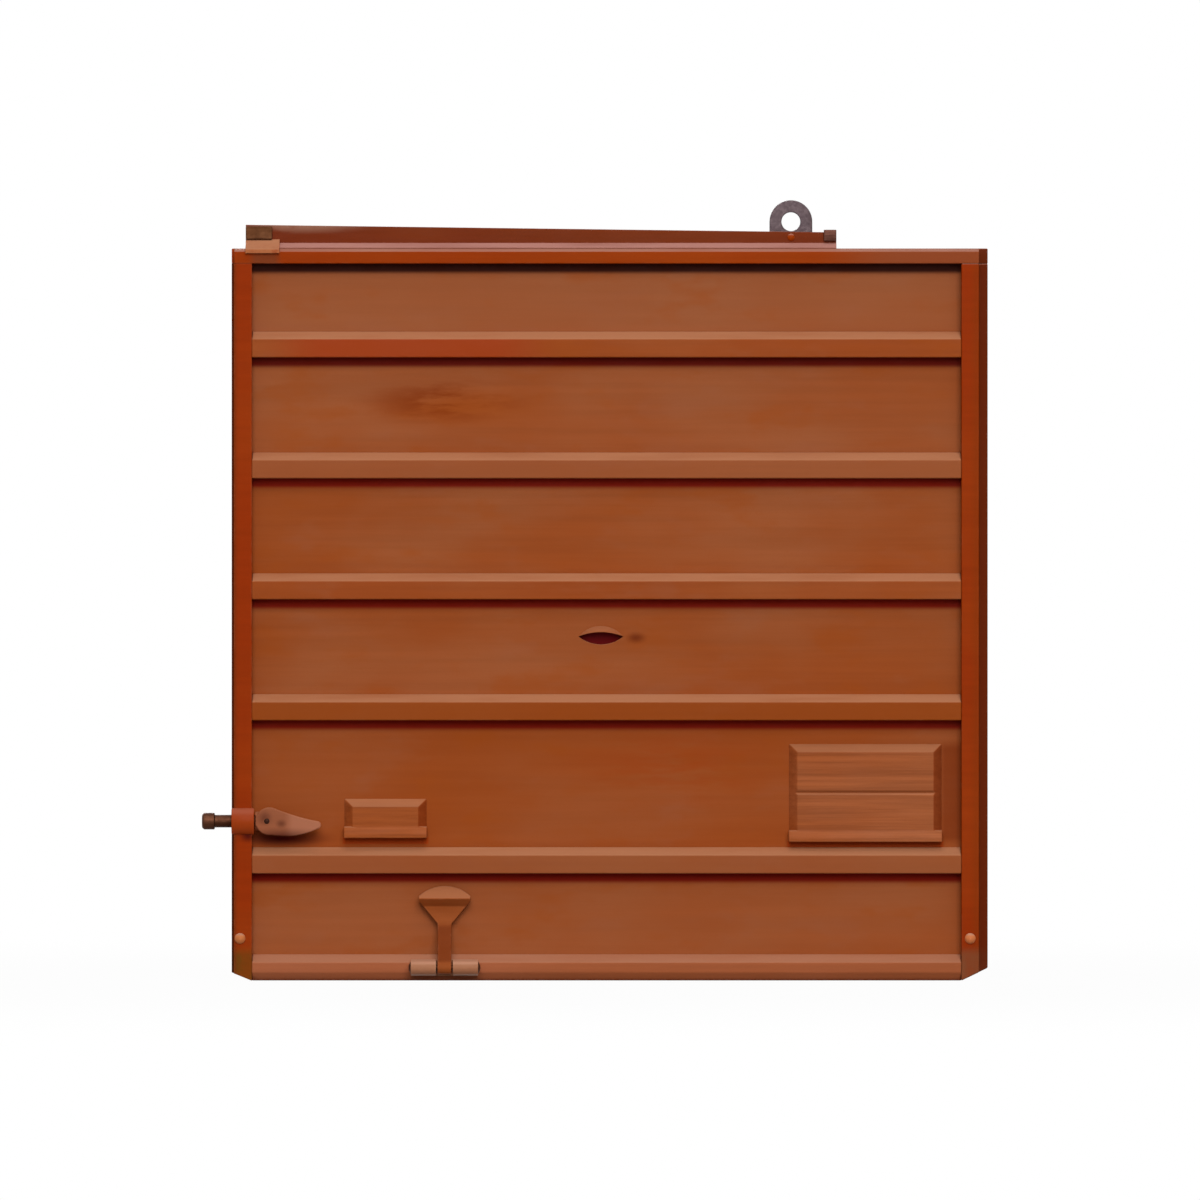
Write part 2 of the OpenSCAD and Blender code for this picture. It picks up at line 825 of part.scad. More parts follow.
module eye_rivet_hole() {
  y_bar(shank_r + fit_clearance, eye_x, eye_rivet_z, through / 2, through);
}

// A stamped tab with a round top and a hole
module hanger_eye() {
  color(bare_steel)
    difference() {
      forward(back_y, eye_t)
        difference() {
          union() {
            translate([eye_x, eye_z])
              circle(r = eye_r);
            translate([eye_x - eye_r, hanger_top_z])
              square([2 * eye_r, eye_z - hanger_top_z]);
          }
          translate([eye_x, eye_z])
            circle(r = eye_hole_r);
        }
      eye_rivet_hole();
    }
}

module eye_rivet() {
  color(red_brown)
    headed_shank(eye_x, eye_rivet_z, web_front_y, rivet_head_r, rivet_head_h);
}

// A bent strap over the foot of the hanger bar and the face of the top rail
module hanger_clip() {
  color(red_brown)
    along_x(hanger_left_x, clip_w)
      polygon([
        [frame_y, clip_bend_z - clip_drop],
        [frame_y, clip_bend_z],
        [hanger_foot_y, leaf_h],
        [hanger_foot_y, leaf_h + hanger_edge_h],
        [web_front_y, hanger_top_z],
        [web_front_y, clip_top_z],
        [hanger_foot_y - clip_t, clip_shoulder_z],
        [frame_y - clip_t, clip_bend_z + clip_t / 2],
        [frame_y - clip_t, clip_bend_z - clip_drop]
      ]);
}

// A lug on the front of the web
module end_stop(x, z, w, h) {
  color(dark_steel)
    translate([x, web_front_y - stop_depth, z])
      cube([w, stop_depth, h]);
}

module left_stop() {
  end_stop(hanger_left_x, clip_top_z, left_stop_w, left_stop_h);
}

module right_stop() {
  end_stop(hanger_right_x - right_stop_w, hanger_top_z + right_stop_gap, right_stop_w, right_stop_h);
}

module stile_bolts() {
  color(red_brown)
    for (x = [left_bolt_x, right_bolt_x])
      headed_shank(x, stile_bolt_z, frame_y, stile_bolt_head_r, stile_bolt_head_h);
}

door_sheet();
left_stile();
right_stile();
top_rail();
bottom_rail();
for (i = [1:rib_count])
  rib(i);
placard_board();
routing_board();
finger_pull();
latch_guide();
latch_bolt();
thumb_piece();
thumb_pin();
lever_bracket();
lift_lever();
lever_pin();
hanger_bar();
hanger_eye();
eye_rivet();
hanger_clip();
left_stop();
right_stop();
stile_bolts();
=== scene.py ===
import math

import bmesh
import bpy
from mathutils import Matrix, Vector, noise


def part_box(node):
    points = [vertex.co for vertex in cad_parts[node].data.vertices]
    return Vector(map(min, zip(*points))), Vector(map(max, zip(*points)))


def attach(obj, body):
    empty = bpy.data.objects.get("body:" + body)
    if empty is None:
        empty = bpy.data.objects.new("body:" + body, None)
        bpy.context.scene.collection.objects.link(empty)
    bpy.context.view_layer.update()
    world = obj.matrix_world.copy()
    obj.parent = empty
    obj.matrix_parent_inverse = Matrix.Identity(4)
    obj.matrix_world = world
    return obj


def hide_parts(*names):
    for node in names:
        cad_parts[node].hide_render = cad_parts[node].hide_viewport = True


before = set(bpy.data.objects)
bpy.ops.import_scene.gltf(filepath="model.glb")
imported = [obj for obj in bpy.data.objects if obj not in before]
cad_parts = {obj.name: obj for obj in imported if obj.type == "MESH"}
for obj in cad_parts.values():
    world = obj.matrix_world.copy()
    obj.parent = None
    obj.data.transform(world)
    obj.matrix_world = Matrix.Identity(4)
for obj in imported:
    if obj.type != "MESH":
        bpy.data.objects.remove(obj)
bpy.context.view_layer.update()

MM = 0.001


def box(node):
    """A node's lowest and highest corners, in millimetres."""
    low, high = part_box(node)
    return low / MM, high / MM


# Planes, edges and corners of the door, in millimetres, from the frame
RIBS = [f"rib_{number}" for number in range(1, 6)]
SHEET_Y = box("rib_1")[1].y
FRAME_Y = box("rib_1")[0].y
BACK_Y = box("door_sheet")[1].y
PANEL_LEFT = box("rib_1")[0].x
PANEL_RIGHT = box("rib_1")[1].x
PLACARD_LOW, PLACARD_HIGH = box("placard_board")
PULL_LOW, PULL_HIGH = box("finger_pull")
THUMB_LOW, THUMB_HIGH = box("thumb_piece")
PIN_LOW, PIN_HIGH = box("thumb_pin")
HANGER_LOW, HANGER_HIGH = box("hanger_bar")
LEVER_LOW, LEVER_HIGH = box("lift_lever")
GUIDE_LOW, GUIDE_HIGH = box("latch_guide")
CLIP_LOW, CLIP_HIGH = box("hanger_clip")
LEFT = box("left_stile")[0].x
RIGHT = box("right_stile")[1].x

# Middles of marks that are on more than one piece or have no piece of their own, in millimetres
# Middle of the painted shadow under the thumb piece, on the sheet and on the piece
UNDER_THUMB = (0.6 * THUMB_LOW.x + 0.4 * THUMB_HIGH.x, SHEET_Y, THUMB_LOW.z - 0.2)
DARK_RUB = (-13.2, SHEET_Y, 46.0)
WARM_PATCH = (-11.8, SHEET_Y, 45.5)
WIDE_RUB = (5.0, SHEET_Y, 17.0)

# Heights between which the soot at the feet of the stiles sets in, in millimetres
FOOT_TOP = 2.9
FOOT_DARK = 1.8

# Colours used by several paints and marks
# Pale dusting colour, also a painted highlight on faces that look up
DUST_AND_HIGHLIGHT = (0.425, 0.172, 0.083)
# Darker tone of the low flanges of the frame
FLANGE_DARK = (0.095, 0.011, 0.001)


class Finish:
    """One procedural material. Its patterns are laid out in the door's own millimetres."""

    def __init__(self, name):
        self.material = bpy.data.materials.new(name)
        self.material.use_nodes = True
        self.tree = self.material.node_tree
        self.surface = self.tree.nodes["Principled BSDF"]
        coords = self.node("ShaderNodeTexCoord")
        self.place = coords.outputs["Object"]
        self.looks = coords.outputs["Normal"]

    def node(self, kind, **settings):
        """A new shader node with the settings given."""
        made = self.tree.nodes.new(kind)
        for name, value in settings.items():
            setattr(made, name, value)
        return made

    def put(self, value, socket):
        """Sets a socket to a number or colour, or links another socket to it."""
        if isinstance(value, bpy.types.NodeSocket):
            self.tree.links.new(value, socket)
        elif isinstance(value, tuple) and len(value) == 3 and socket.type == "RGBA":
            socket.default_value = (*value, 1)
        else:
            socket.default_value = value

    def noise(self, per_mm, detail=4, rough=0.5):
        """A cloudy pattern with so many features to the millimetre along X, Y and Z."""
        spread = self.node("ShaderNodeMapping")
        self.put(self.place, spread.inputs["Vector"])
        self.put(tuple(n / MM for n in per_mm), spread.inputs["Scale"])
        cloud = self.node("ShaderNodeTexNoise")
        self.put(spread.outputs["Vector"], cloud.inputs["Vector"])
        self.put(1.0, cloud.inputs["Scale"])
        self.put(detail, cloud.inputs["Detail"])
        self.put(rough, cloud.inputs["Roughness"])
        return cloud.outputs["Fac"]

    def ramp(self, value, low, high, to_low=0.0, to_high=1.0):
        """value, with low to high stretched over to_low to to_high and cut off beyond them."""
        stretch = self.node("ShaderNodeMapRange", interpolation_type="SMOOTHSTEP")
        for number, name in ((value, "Value"), (low, "From Min"), (high, "From Max"),
                             (to_low, "To Min"), (to_high, "To Max")):
            self.put(number, stretch.inputs[name])
        return stretch.outputs["Result"]

    def maths(self, kind, first, second):
        """One sum on two numbers or masks."""
        step = self.node("ShaderNodeMath", operation=kind)
        self.put(first, step.inputs[0])
        self.put(second, step.inputs[1])
        return step.outputs[0]

    def times(self, *factors):
        """The product of several masks."""
        product = factors[0]
        for factor in factors[1:]:
            product = self.maths("MULTIPLY", product, factor)
        return product

    def blend(self, share, first, second, kind="MIX"):
        """The colour first where share is 0 and second where share is 1."""
        mix = self.node("ShaderNodeMix", data_type="RGBA", blend_type=kind)
        self.put(share, mix.inputs[0])
        self.put(first, mix.inputs[6])
        self.put(second, mix.inputs[7])
        return mix.outputs[2]

    def axis(self, vector, name):
        """One of the three numbers of a place or direction."""
        parts = self.node("ShaderNodeSeparateXYZ")
        self.put(vector, parts.inputs[0])
        return parts.outputs[name]

    def slope(self, name, low, high):
        """0 up to the place low on an axis and 1 from the place high, in millimetres."""
        return self.ramp(self.axis(self.place, name), low * MM, high * MM)

    def band(self, name, low, high, soft):
        """1 between two places on an axis, fading out over a soft edge."""
        return self.times(self.slope(name, low - soft, low), self.slope(name, high + soft, high))

    def spot(self, centre, reach):
        """1 at a point of the door, falling to 0 at a reach of its own along X, Y and Z."""
        shift = self.node("ShaderNodeVectorMath", operation="SUBTRACT")
        self.put(self.place, shift.inputs[0])
        self.put(tuple(c * MM for c in centre), shift.inputs[1])
        scale = self.node("ShaderNodeVectorMath", operation="DIVIDE")
        self.put(shift.outputs[0], scale.inputs[0])
        self.put(tuple(r * MM for r in reach), scale.inputs[1])
        length = self.node("ShaderNodeVectorMath", operation="LENGTH")
        self.put(scale.outputs[0], length.inputs[0])
        return self.ramp(length.outputs["Value"], 1.0, 0.0)

    def facing(self, name, low, high):
        """0 to 1 as a surface turns towards an axis of the piece."""
        return self.ramp(self.axis(self.looks, name), low, high)

    def hollows(self, reach, samples=6):
        """1 deep in a corner, 0 in the open."""
        shade = self.node("ShaderNodeAmbientOcclusion", samples=samples)
        self.put(reach * MM, shade.inputs["Distance"])
        return self.ramp(shade.outputs["AO"], 0.56, 0.25)

    def edges(self, reach, samples=4):
        """1 on an edge, 0 on a flat."""
        eased = self.node("ShaderNodeBevel", samples=samples)
        self.put(reach * MM, eased.inputs["Radius"])
        flat = self.node("ShaderNodeNewGeometry")
        match = self.node("ShaderNodeVectorMath", operation="DOT_PRODUCT")
        self.put(eased.outputs["Normal"], match.inputs[0])
        self.put(flat.outputs["Normal"], match.inputs[1])
        return self.ramp(match.outputs["Value"], 0.995, 0.88)

    def relief(self, height, depth, strength=1.0, over=None):
        """Bump of so many millimetres, laid over another bump where one is given."""
        bump = self.node("ShaderNodeBump")
        self.put(strength, bump.inputs["Strength"])
        self.put(depth * MM, bump.inputs["Distance"])
        self.put(height, bump.inputs["Height"])
        if over is not None:
            self.put(over, bump.inputs["Normal"])
        return bump.outputs["Normal"]

    def close(self, colour, rough, normal, metal, shine):
        """Puts the finished patterns on the surface."""
        for name, value in (("Base Color", colour), ("Roughness", rough), ("Normal", normal),
                            ("Metallic", metal), ("Specular IOR Level", shine)):
            self.put(value, self.surface.inputs[name])
        return self.material


def paint(name, pale, deep, grime_and_shade, worn, dust_and_highlight, marks=(), shine=0.06, streak=0.14, wear=0.4, dust_and_highlight_share=1.0):
    """Brushed-on satin paint: slow drift of hue, brush streaks, a dusting on faces that look up which also
    paints their highlight, painted shade and soot in the corners, rubbed edges.

    Each mark is a function that lays its stains and painted light over the colour. streak, wear and the
    share of the dusting are shares.
    """
    f = Finish(name)
    drift = f.ramp(f.noise((0.055, 0.2, 0.11), detail=3), 0.36, 0.64)
    colour = f.blend(drift, pale, deep)
    strokes = f.noise((0.05, 0.6, 1.6), detail=5, rough=0.65)
    tone = f.blend(f.ramp(strokes, 0.3, 0.7), (0.55, 0.5, 0.45), (1.4, 1.35, 1.3))
    colour = f.blend(streak, colour, tone, "MULTIPLY")
    speck = f.noise((5, 5, 5), detail=2)
    colour = f.blend(f.ramp(speck, 0.56, 0.75, 0.0, 0.2), colour, deep)
    for mark in marks:
        colour = mark(f, colour)
    # Dust on faces that look up, which also paints the highlight that falls on them
    film = f.ramp(f.noise((0.12, 0.7, 0.7), detail=4), 0.2, 0.6, 0.7, 1.0)
    colour = f.blend(f.times(f.facing("Z", 0.3, 0.75), film, dust_and_highlight_share), colour, dust_and_highlight)
    # Painted shade deep in the corners, along with soot
    colour = f.blend(f.times(f.hollows(0.5), 0.6), colour, grime_and_shade)
    patches = f.ramp(f.noise((0.9, 0.9, 0.9), detail=5, rough=0.7), 0.42, 0.66)
    colour = f.blend(f.times(f.edges(0.16), patches, wear), colour, worn)
    rough = f.ramp(f.noise((0.5, 0.5, 2.2), detail=4), 0.25, 0.75, 0.38, 0.56)
    peel = f.relief(f.noise((3.2, 3.2, 3.2), detail=2), 0.012, 0.5)
    normal = f.relief(strokes, 0.01, 0.5, over=peel)
    return f.close(colour, rough, normal, metal=0.0, shine=shine)


def metal(name, bright, dull, stain_and_shade, rough=(0.32, 0.5), along=(0.3, 6, 6), soiled=0.5, below=0.0):
    """Drawn wire and sheet metal, dulled, with fine drawing marks and brown handling stains, whose colour is
    also painted as shade in the hollows and on the undersides.

    soiled is the share of the stains all over, and below the share of painted shade on the undersides.
    """
    f = Finish(name)
    marks = f.noise(along, detail=5, rough=0.7)
    colour = f.blend(f.ramp(marks, 0.3, 0.7), dull, bright)
    blotch = f.ramp(f.noise((0.9, 0.9, 0.9), detail=4), 0.45, 0.7)
    colour = f.blend(f.times(blotch, soiled), colour, stain_and_shade)
    # Painted shade on the undersides, in the stains' colour
    colour = f.blend(f.times(f.facing("Z", 0.35, -0.6), below), colour, stain_and_shade)
    # Painted shade in the hollows
    colour = f.blend(f.times(f.hollows(0.4), 0.7), colour, stain_and_shade)
    roughness = f.ramp(f.noise((1.2, 1.2, 1.2), detail=3), 0.3, 0.7, *rough)
    return f.close(colour, roughness, f.relief(marks, 0.01, 0.6), metal=1.0, shine=0.5)


def front_of_sheet(f):
    """1 on the ribbed side of the sheet, 0 further in and on the back."""
    return f.slope("Y", SHEET_Y + 0.2, SHEET_Y + 0.05)


def on_flange(f):
    """1 on the low flanges of the frame, 0 on its front."""
    return f.slope("Y", FRAME_Y + 0.15, FRAME_Y + 0.35)


def faded_panels(f, colour):
    """Paint that is faded on the upper two panels and the lowest, and warmer on the fifth."""
    faded = (0.305, 0.103, 0.042)
    warm = (0.30, 0.052, 0.004)
    sunlit = (0.340, 0.092, 0.030)
    front = front_of_sheet(f)
    for above, below, share, shade in (("top_rail", "rib_1", 0.5, faded),
                                       ("rib_1", "rib_2", 0.15, faded),
                                       ("rib_4", "rib_5", 0.35, warm),
                                       ("rib_5", "bottom_rail", 0.35, sunlit)):
        panel = f.band("Z", box(below)[1].z, box(above)[0].z, 0.1)
        colour = f.blend(f.times(panel, front, share), colour, shade)
    return colour


def hue_patches(f, colour):
    """Slow patches of warmer and of duskier brown."""
    warmer = (0.305, 0.058, 0.004)
    duskier = (0.294, 0.096, 0.043)
    drift = f.noise((0.14, 0.4, 0.32), detail=3, rough=0.6)
    colour = f.blend(f.ramp(drift, 0.52, 0.72, 0.0, 0.45), colour, warmer)
    return f.blend(f.ramp(drift, 0.48, 0.28, 0.0, 0.27), colour, duskier)


def painted_rib_shadows(f, colour):
    """A painted shadow: a dark line on the sheet below each rib, below the top rail and below the boards."""
    board_shadow = (0.33, 0.036, 0.001)
    front = front_of_sheet(f)
    shades = {rib: (0.205, 0.005, 0.0005) for rib in RIBS}
    shades.update(rib_1=(0.13, 0.003, 0.0005), top_rail=(0.022, 0.001, 0.0005))
    for node, shade in shades.items():
        foot = box(node)[0].z
        colour = f.blend(f.times(f.band("Z", foot - 0.5, foot, 0.4), front, 0.95), colour, shade)
    for low, high in (box("placard_board"), box("routing_board")):
        below = f.times(f.band("Z", low.z - 0.4, low.z, 0.15), f.band("X", low.x, high.x, 0.2))
        colour = f.blend(f.times(below, front, 0.8), colour, board_shadow)
    return colour


def right_side_shade(f, colour):
    """Painted shade along the inner edge of the right stile, and more beside the placard board."""
    front = front_of_sheet(f)
    edge = f.slope("X", PANEL_RIGHT - 1.2, PANEL_RIGHT - 0.2)
    beside = f.times(f.slope("X", PLACARD_HIGH.x - 0.4, PLACARD_HIGH.x + 0.3),
                     f.band("Z", PLACARD_LOW.z + 0.5, PLACARD_HIGH.z - 0.5, 0.9))
    colour = f.blend(f.times(edge, front, 0.12), colour, (0.24, 0.040, 0.001))
    return f.blend(f.times(beside, front, 0.6), colour, (0.17, 0.020, 0.0005))


def rubs(f, colour):
    """A dark rub in a warm patch on the second panel, and a wide warm rub on the fifth."""
    fibres = f.ramp(f.noise((0.16, 1, 0.9), detail=5, rough=0.6), 0.38, 0.62)
    patch = f.times(f.spot(WARM_PATCH, (9.5, 0.5, 2.2)), 0.9)
    dark = f.times(f.spot(DARK_RUB, (8.5, 0.5, 2.4)), fibres, 0.9)
    wide = f.times(f.spot(WIDE_RUB, (12, 0.5, 4.5)), fibres, 0.6)
    colour = f.blend(patch, colour, (0.30, 0.060, 0.007))
    colour = f.blend(dark, colour, (0.195, 0.026, 0.0005))
    return f.blend(wide, colour, (0.31, 0.045, 0.003))


def finger_pocket_shade_and_mark(f, colour):
    """Painted shade in the finger pocket, and a dark thumb mark to the right of it."""
    pocket_shade = f.times(f.band("X", PULL_LOW.x - 0.4, PULL_HIGH.x + 0.4, 0.3),
                     f.band("Z", PULL_LOW.z - 1.2, PULL_HIGH.z, 0.3),
                     f.band("Y", SHEET_Y + 0.1, BACK_Y - 0.2, 0.06))
    mark = f.spot((PULL_HIGH.x + 1.0, SHEET_Y, PULL_LOW.z - 0.1), (1.1, 0.5, 0.6))
    colour = f.blend(pocket_shade, colour, (0.115, 0.002, 0.003))
    return f.blend(f.times(mark, 0.7), colour, (0.10, 0.010, 0.001))


def thumb_shadow_on_sheet(f, colour):
    """A painted shadow on the sheet below the thumb piece."""
    below = f.times(f.spot(UNDER_THUMB, (5.2, 0.5, 0.9)), 0.97)
    return f.blend(below, colour, (0.06, 0.001, 0.0005))


def sliding_marks(f, colour):
    """Long scuffs on the back, where the door slides along the car."""
    lines = f.ramp(f.noise((0.02, 1, 3.5), detail=6, rough=0.7), 0.52, 0.68)
    back = f.slope("Y", BACK_Y - 0.1, BACK_Y - 0.02)
    return f.blend(f.times(lines, back, 0.2), colour, (0.40, 0.17, 0.09))


def rib_drift(f, colour):
    """The left of the top rib is redder, the second and fifth ribs are paler and the fourth is deeper."""
    def at(node):
        return f.band("Z", box(node)[0].z, box(node)[1].z, 0.2)
    red = f.times(at("rib_1"), f.band("X", PANEL_LEFT + 6, PANEL_LEFT + 19, 6))
    pale = f.maths("MAXIMUM", at("rib_2"), at("rib_5"))
    colour = f.blend(f.times(red, 0.85), colour, (0.315, 0.038, 0.004))
    colour = f.blend(f.times(pale, 0.5), colour, (0.292, 0.088, 0.032))
    return f.blend(f.times(at("rib_4"), 0.7), colour, (0.258, 0.048, 0.002))


def frame_soot_and_shade(f, colour):
    """Darker paint on the stiles: at the outer edges, soot at the feet, a painted shadow under the latch
    guide, and darker again on the low flanges, more so to the right.
    """
    right_edge = f.times(f.slope("X", PANEL_RIGHT + 0.6, PANEL_RIGHT + 1.2), 0.4)
    colour = f.blend(right_edge, colour, (0.20, 0.032, 0.002))
    foot = f.times(f.slope("Z", FOOT_TOP, FOOT_DARK), f.ramp(f.noise((0.9, 0.9, 0.7)), 0.3, 0.6, 0.6, 0.9))
    olive_or_grey = f.blend(f.slope("X", -1, 1), (0.14, 0.05, 0.004), (0.20, 0.065, 0.025))
    colour = f.blend(foot, colour, olive_or_grey)
    left_edge = f.times(f.slope("X", LEFT + 0.55, LEFT + 0.25), 0.6)
    colour = f.blend(left_edge, colour, (0.15, 0.026, 0.003))
    # A painted shadow under the latch guide
    under_guide = f.spot((GUIDE_HIGH.x - 0.5, FRAME_Y, GUIDE_LOW.z - 0.1), (0.9, 2, 0.7))
    colour = f.blend(f.times(under_guide, 0.9), colour, (0.06, 0.003, 0.002))
    thicker_to_right = f.ramp(f.axis(f.place, "X"), LEFT * MM, RIGHT * MM, 0.1, 0.85)
    return f.blend(f.times(on_flange(f), thicker_to_right), colour, FLANGE_DARK)


def rail_ends(f, colour):
    """The right end of the top rail is browner, it is darker on its flange, and there is a painted shadow
    under the clip.
    """
    right_end = f.slope("X", HANGER_HIGH.x - 2, HANGER_HIGH.x + 5)
    colour = f.blend(f.times(right_end, 0.8), colour, (0.25, 0.060, 0.020))
    # A painted shadow under the clip
    under_clip = f.times(f.band("X", CLIP_LOW.x + 0.9, CLIP_HIGH.x - 0.5, 0.8),
                         f.slope("Z", CLIP_LOW.z + 0.3, CLIP_LOW.z - 0.3))
    colour = f.blend(f.times(under_clip, 0.8), colour, (0.175, 0.040, 0.012))
    flange = f.times(on_flange(f), f.slope("X", PANEL_RIGHT + 0.9, PANEL_RIGHT + 1.3))
    return f.blend(f.times(flange, 0.85), colour, FLANGE_DARK)


def plank_grain(f, colour):
    """Grain along the boards, and painted shade on the bevels at their ends, more on the right end."""
    grain = f.noise((0.07, 2, 2.6), detail=6, rough=0.7)
    tone = f.blend(f.ramp(grain, 0.35, 0.65), (0.5, 0.42, 0.36), (1.25, 1.25, 1.25))
    colour = f.blend(0.32, colour, tone, "MULTIPLY")
    # Painted shade on the end bevels
    for side, share in ((-1, 0.2), (1, 0.6)):
        bevel = f.facing("X", side * 0.25, side * 0.5)
        colour = f.blend(f.times(bevel, share), colour, (0.20, 0.022, 0.001))
    return colour


def lever_highlight_and_shade(f, colour):
    """Dust on the head of the lever, which also paints its highlight, a painted shadow under the head, and a
    darker stem.
    """
    middle = (LEVER_LOW.x + LEVER_HIGH.x) / 2
    head = f.times(f.facing("Z", 0.3, 0.75), f.slope("Z", LEVER_HIGH.z - 1.4, LEVER_HIGH.z - 1.0))
    colour = f.blend(f.times(head, 0.6), colour, DUST_AND_HIGHLIGHT)
    stem = f.times(f.band("Z", LEVER_LOW.z + 1.2, LEVER_LOW.z + 3.6, 0.5), 0.6)
    under = f.times(f.spot((middle - 0.2, LEVER_LOW.y, LEVER_HIGH.z - 1.6), (1.9, 9, 0.9)), 0.14)
    return f.blend(f.maths("MAXIMUM", stem, under), colour, (0.13, 0.016, 0.001))


def thumb_marks_and_shade(f, colour):
    """A paler tail that is a painted highlight, painted shade along the underside, and dark finger dirt
    round the pin of the thumb piece.
    """
    middle = (PIN_LOW + PIN_HIGH) / 2
    tail = f.slope("X", middle.x + 1.3, middle.x + 2.2)
    colour = f.blend(f.times(tail, 0.6), colour, (0.42, 0.155, 0.085))
    near = f.spot((middle.x - 0.15, PIN_LOW.y, middle.z + 0.25), (0.75, 2, 0.8))
    beside = f.spot((middle.x + 1.15, PIN_LOW.y, middle.z - 0.2), (0.6, 2, 0.45))
    colour = f.blend(f.times(f.maths("MAXIMUM", near, beside), 0.75), colour, (0.10, 0.022, 0.008))
    underside = f.spot(UNDER_THUMB, (4.6, 9, 1.1))
    return f.blend(underside, colour, (0.05, 0.003, 0.001))


def web_wear(f, colour):
    """The top edge of the hanger bar is rubbed pale over its left part."""
    left = f.spot((HANGER_LOW.x + 4.5, FRAME_Y, HANGER_HIGH.z), (7, 6, 0.9))
    patches = f.ramp(f.noise((0.35, 1, 1.4), detail=4), 0.3, 0.6)
    return f.blend(f.times(left, patches, 0.8), colour, (0.34, 0.17, 0.11))


def pink_patches(f, colour):
    """Rubbed primer."""
    patches = f.ramp(f.noise((0.9, 0.6, 0.5), detail=4), 0.38, 0.58)
    return f.blend(f.times(patches, 0.8), colour, (0.43, 0.150, 0.056))


def rubbed_heads(f, colour):
    """The head of the right bolt is rubbed brighter than the left one."""
    tone = f.blend(f.slope("X", -1, 1), (0.91, 0.84, 0.68), (1.11, 1.09, 1.12))
    return f.blend(1.0, colour, tone, "MULTIPLY")


BROWN = dict(pale=(0.304, 0.085, 0.027), deep=(0.290, 0.0635, 0.0125), grime_and_shade=(0.09, 0.008, 0.001),
             worn=(0.40, 0.14, 0.07), dust_and_highlight=DUST_AND_HIGHLIGHT)
RIB = {**BROWN, "pale": (0.300, 0.074, 0.018), "deep": (0.286, 0.057, 0.009)}
SILL = {**BROWN, "pale": (0.370, 0.108, 0.044), "deep": (0.340, 0.092, 0.032), "dust_and_highlight": (0.41, 0.165, 0.09)}
BOARD = {**BROWN, "pale": (0.325, 0.092, 0.030), "deep": (0.310, 0.072, 0.015)}
THUMB = {**BROWN, "pale": (0.310, 0.100, 0.045), "deep": (0.260, 0.075, 0.030)}
ORANGE = dict(pale=(0.288, 0.035, 0.002), deep=(0.272, 0.027, 0.001), grime_and_shade=(0.09, 0.01, 0.001),
              worn=(0.40, 0.12, 0.05), dust_and_highlight=(0.40, 0.17, 0.12))
RAIL = {**ORANGE, "pale": (0.296, 0.042, 0.002), "deep": (0.280, 0.033, 0.001)}
GUIDE = {**ORANGE, "pale": (0.36, 0.060, 0.012), "deep": (0.31, 0.040, 0.004)}
CLIP = {**ORANGE, "pale": (0.37, 0.085, 0.02), "dust_and_highlight": (0.44, 0.18, 0.09)}
DARK = dict(pale=(0.166, 0.027, 0.004), deep=(0.145, 0.019, 0.002), grime_and_shade=(0.05, 0.008, 0.002),
            worn=(0.36, 0.16, 0.11), dust_and_highlight=(0.42, 0.19, 0.155))
WORN = dict(pale=(0.40, 0.175, 0.092), deep=(0.33, 0.11, 0.044), grime_and_shade=(0.09, 0.008, 0.001),
            worn=(0.50, 0.30, 0.19), dust_and_highlight=(0.48, 0.23, 0.14))
HEAD = {**WORN, "pale": (0.60, 0.21, 0.085), "deep": (0.52, 0.155, 0.05)}

# In these paints the share of the pale film on faces that look up stands for both dust and a painted
# highlight
sheet_paint = paint("sheet_paint", **BROWN, shine=0.035,
                    marks=(faded_panels, hue_patches, rubs, sliding_marks, right_side_shade, painted_rib_shadows, thumb_shadow_on_sheet,
                           finger_pocket_shade_and_mark))
rib_paint = paint("rib_paint", **RIB, marks=(hue_patches, rib_drift))
hood_paint = paint("hood_paint", **BROWN, dust_and_highlight_share=0.5)
sill_paint = paint("sill_paint", **SILL)
frame_paint = paint("frame_paint", **ORANGE, shine=0.03, marks=(frame_soot_and_shade,))
rail_paint = paint("rail_paint", **RAIL, shine=0.03, marks=(rail_ends,))
guide_paint = paint("guide_paint", **GUIDE, dust_and_highlight_share=0.35)
hanger_paint = paint("hanger_paint", **DARK, marks=(web_wear,))
board_paint = paint("board_paint", **BOARD, streak=0.2, marks=(plank_grain,), dust_and_highlight_share=0.65)
# Edges rubbed paler, at a share high enough to also paint light over the shade on the lever's eased edges
lever_paint = paint("lever_paint", **RIB, marks=(lever_highlight_and_shade,), shine=0.02, dust_and_highlight_share=0.0, wear=0.9)
thumb_paint = paint("thumb_paint", **THUMB, marks=(thumb_marks_and_shade,), dust_and_highlight_share=0.3)
clip_paint = paint("clip_paint", **CLIP, marks=(pink_patches,))
worn_paint = paint("worn_paint", **WORN, wear=0.8)
head_paint = paint("head_paint", **HEAD, wear=0.8, marks=(rubbed_heads,))

# Roughness of steel that has lost its polish
DULL = (0.5, 0.65)
bolt_steel = metal("bolt_steel", (0.118, 0.048, 0.027), (0.080, 0.030, 0.016), (0.030, 0.008, 0.003),
                   rough=DULL, along=(0.2, 5, 5), below=0.5)
eye_steel = metal("eye_steel", (0.088, 0.064, 0.068), (0.053, 0.037, 0.041), (0.036, 0.022, 0.022),
                  along=(3, 3, 3), soiled=0.3)
dark_steel = metal("dark_steel", (0.050, 0.021, 0.014), (0.026, 0.010, 0.007), (0.015, 0.005, 0.003),
                   rough=DULL)
stop_steel = metal("stop_steel", (0.128, 0.054, 0.038), (0.072, 0.028, 0.020), (0.042, 0.014, 0.009),
                   rough=DULL)
brown_steel = metal("brown_steel", (0.128, 0.052, 0.024), (0.080, 0.029, 0.011), (0.050, 0.015, 0.005),
                    rough=DULL)

# Points that are nearer to each other than this become one point, in millimetres
WELD = 0.002

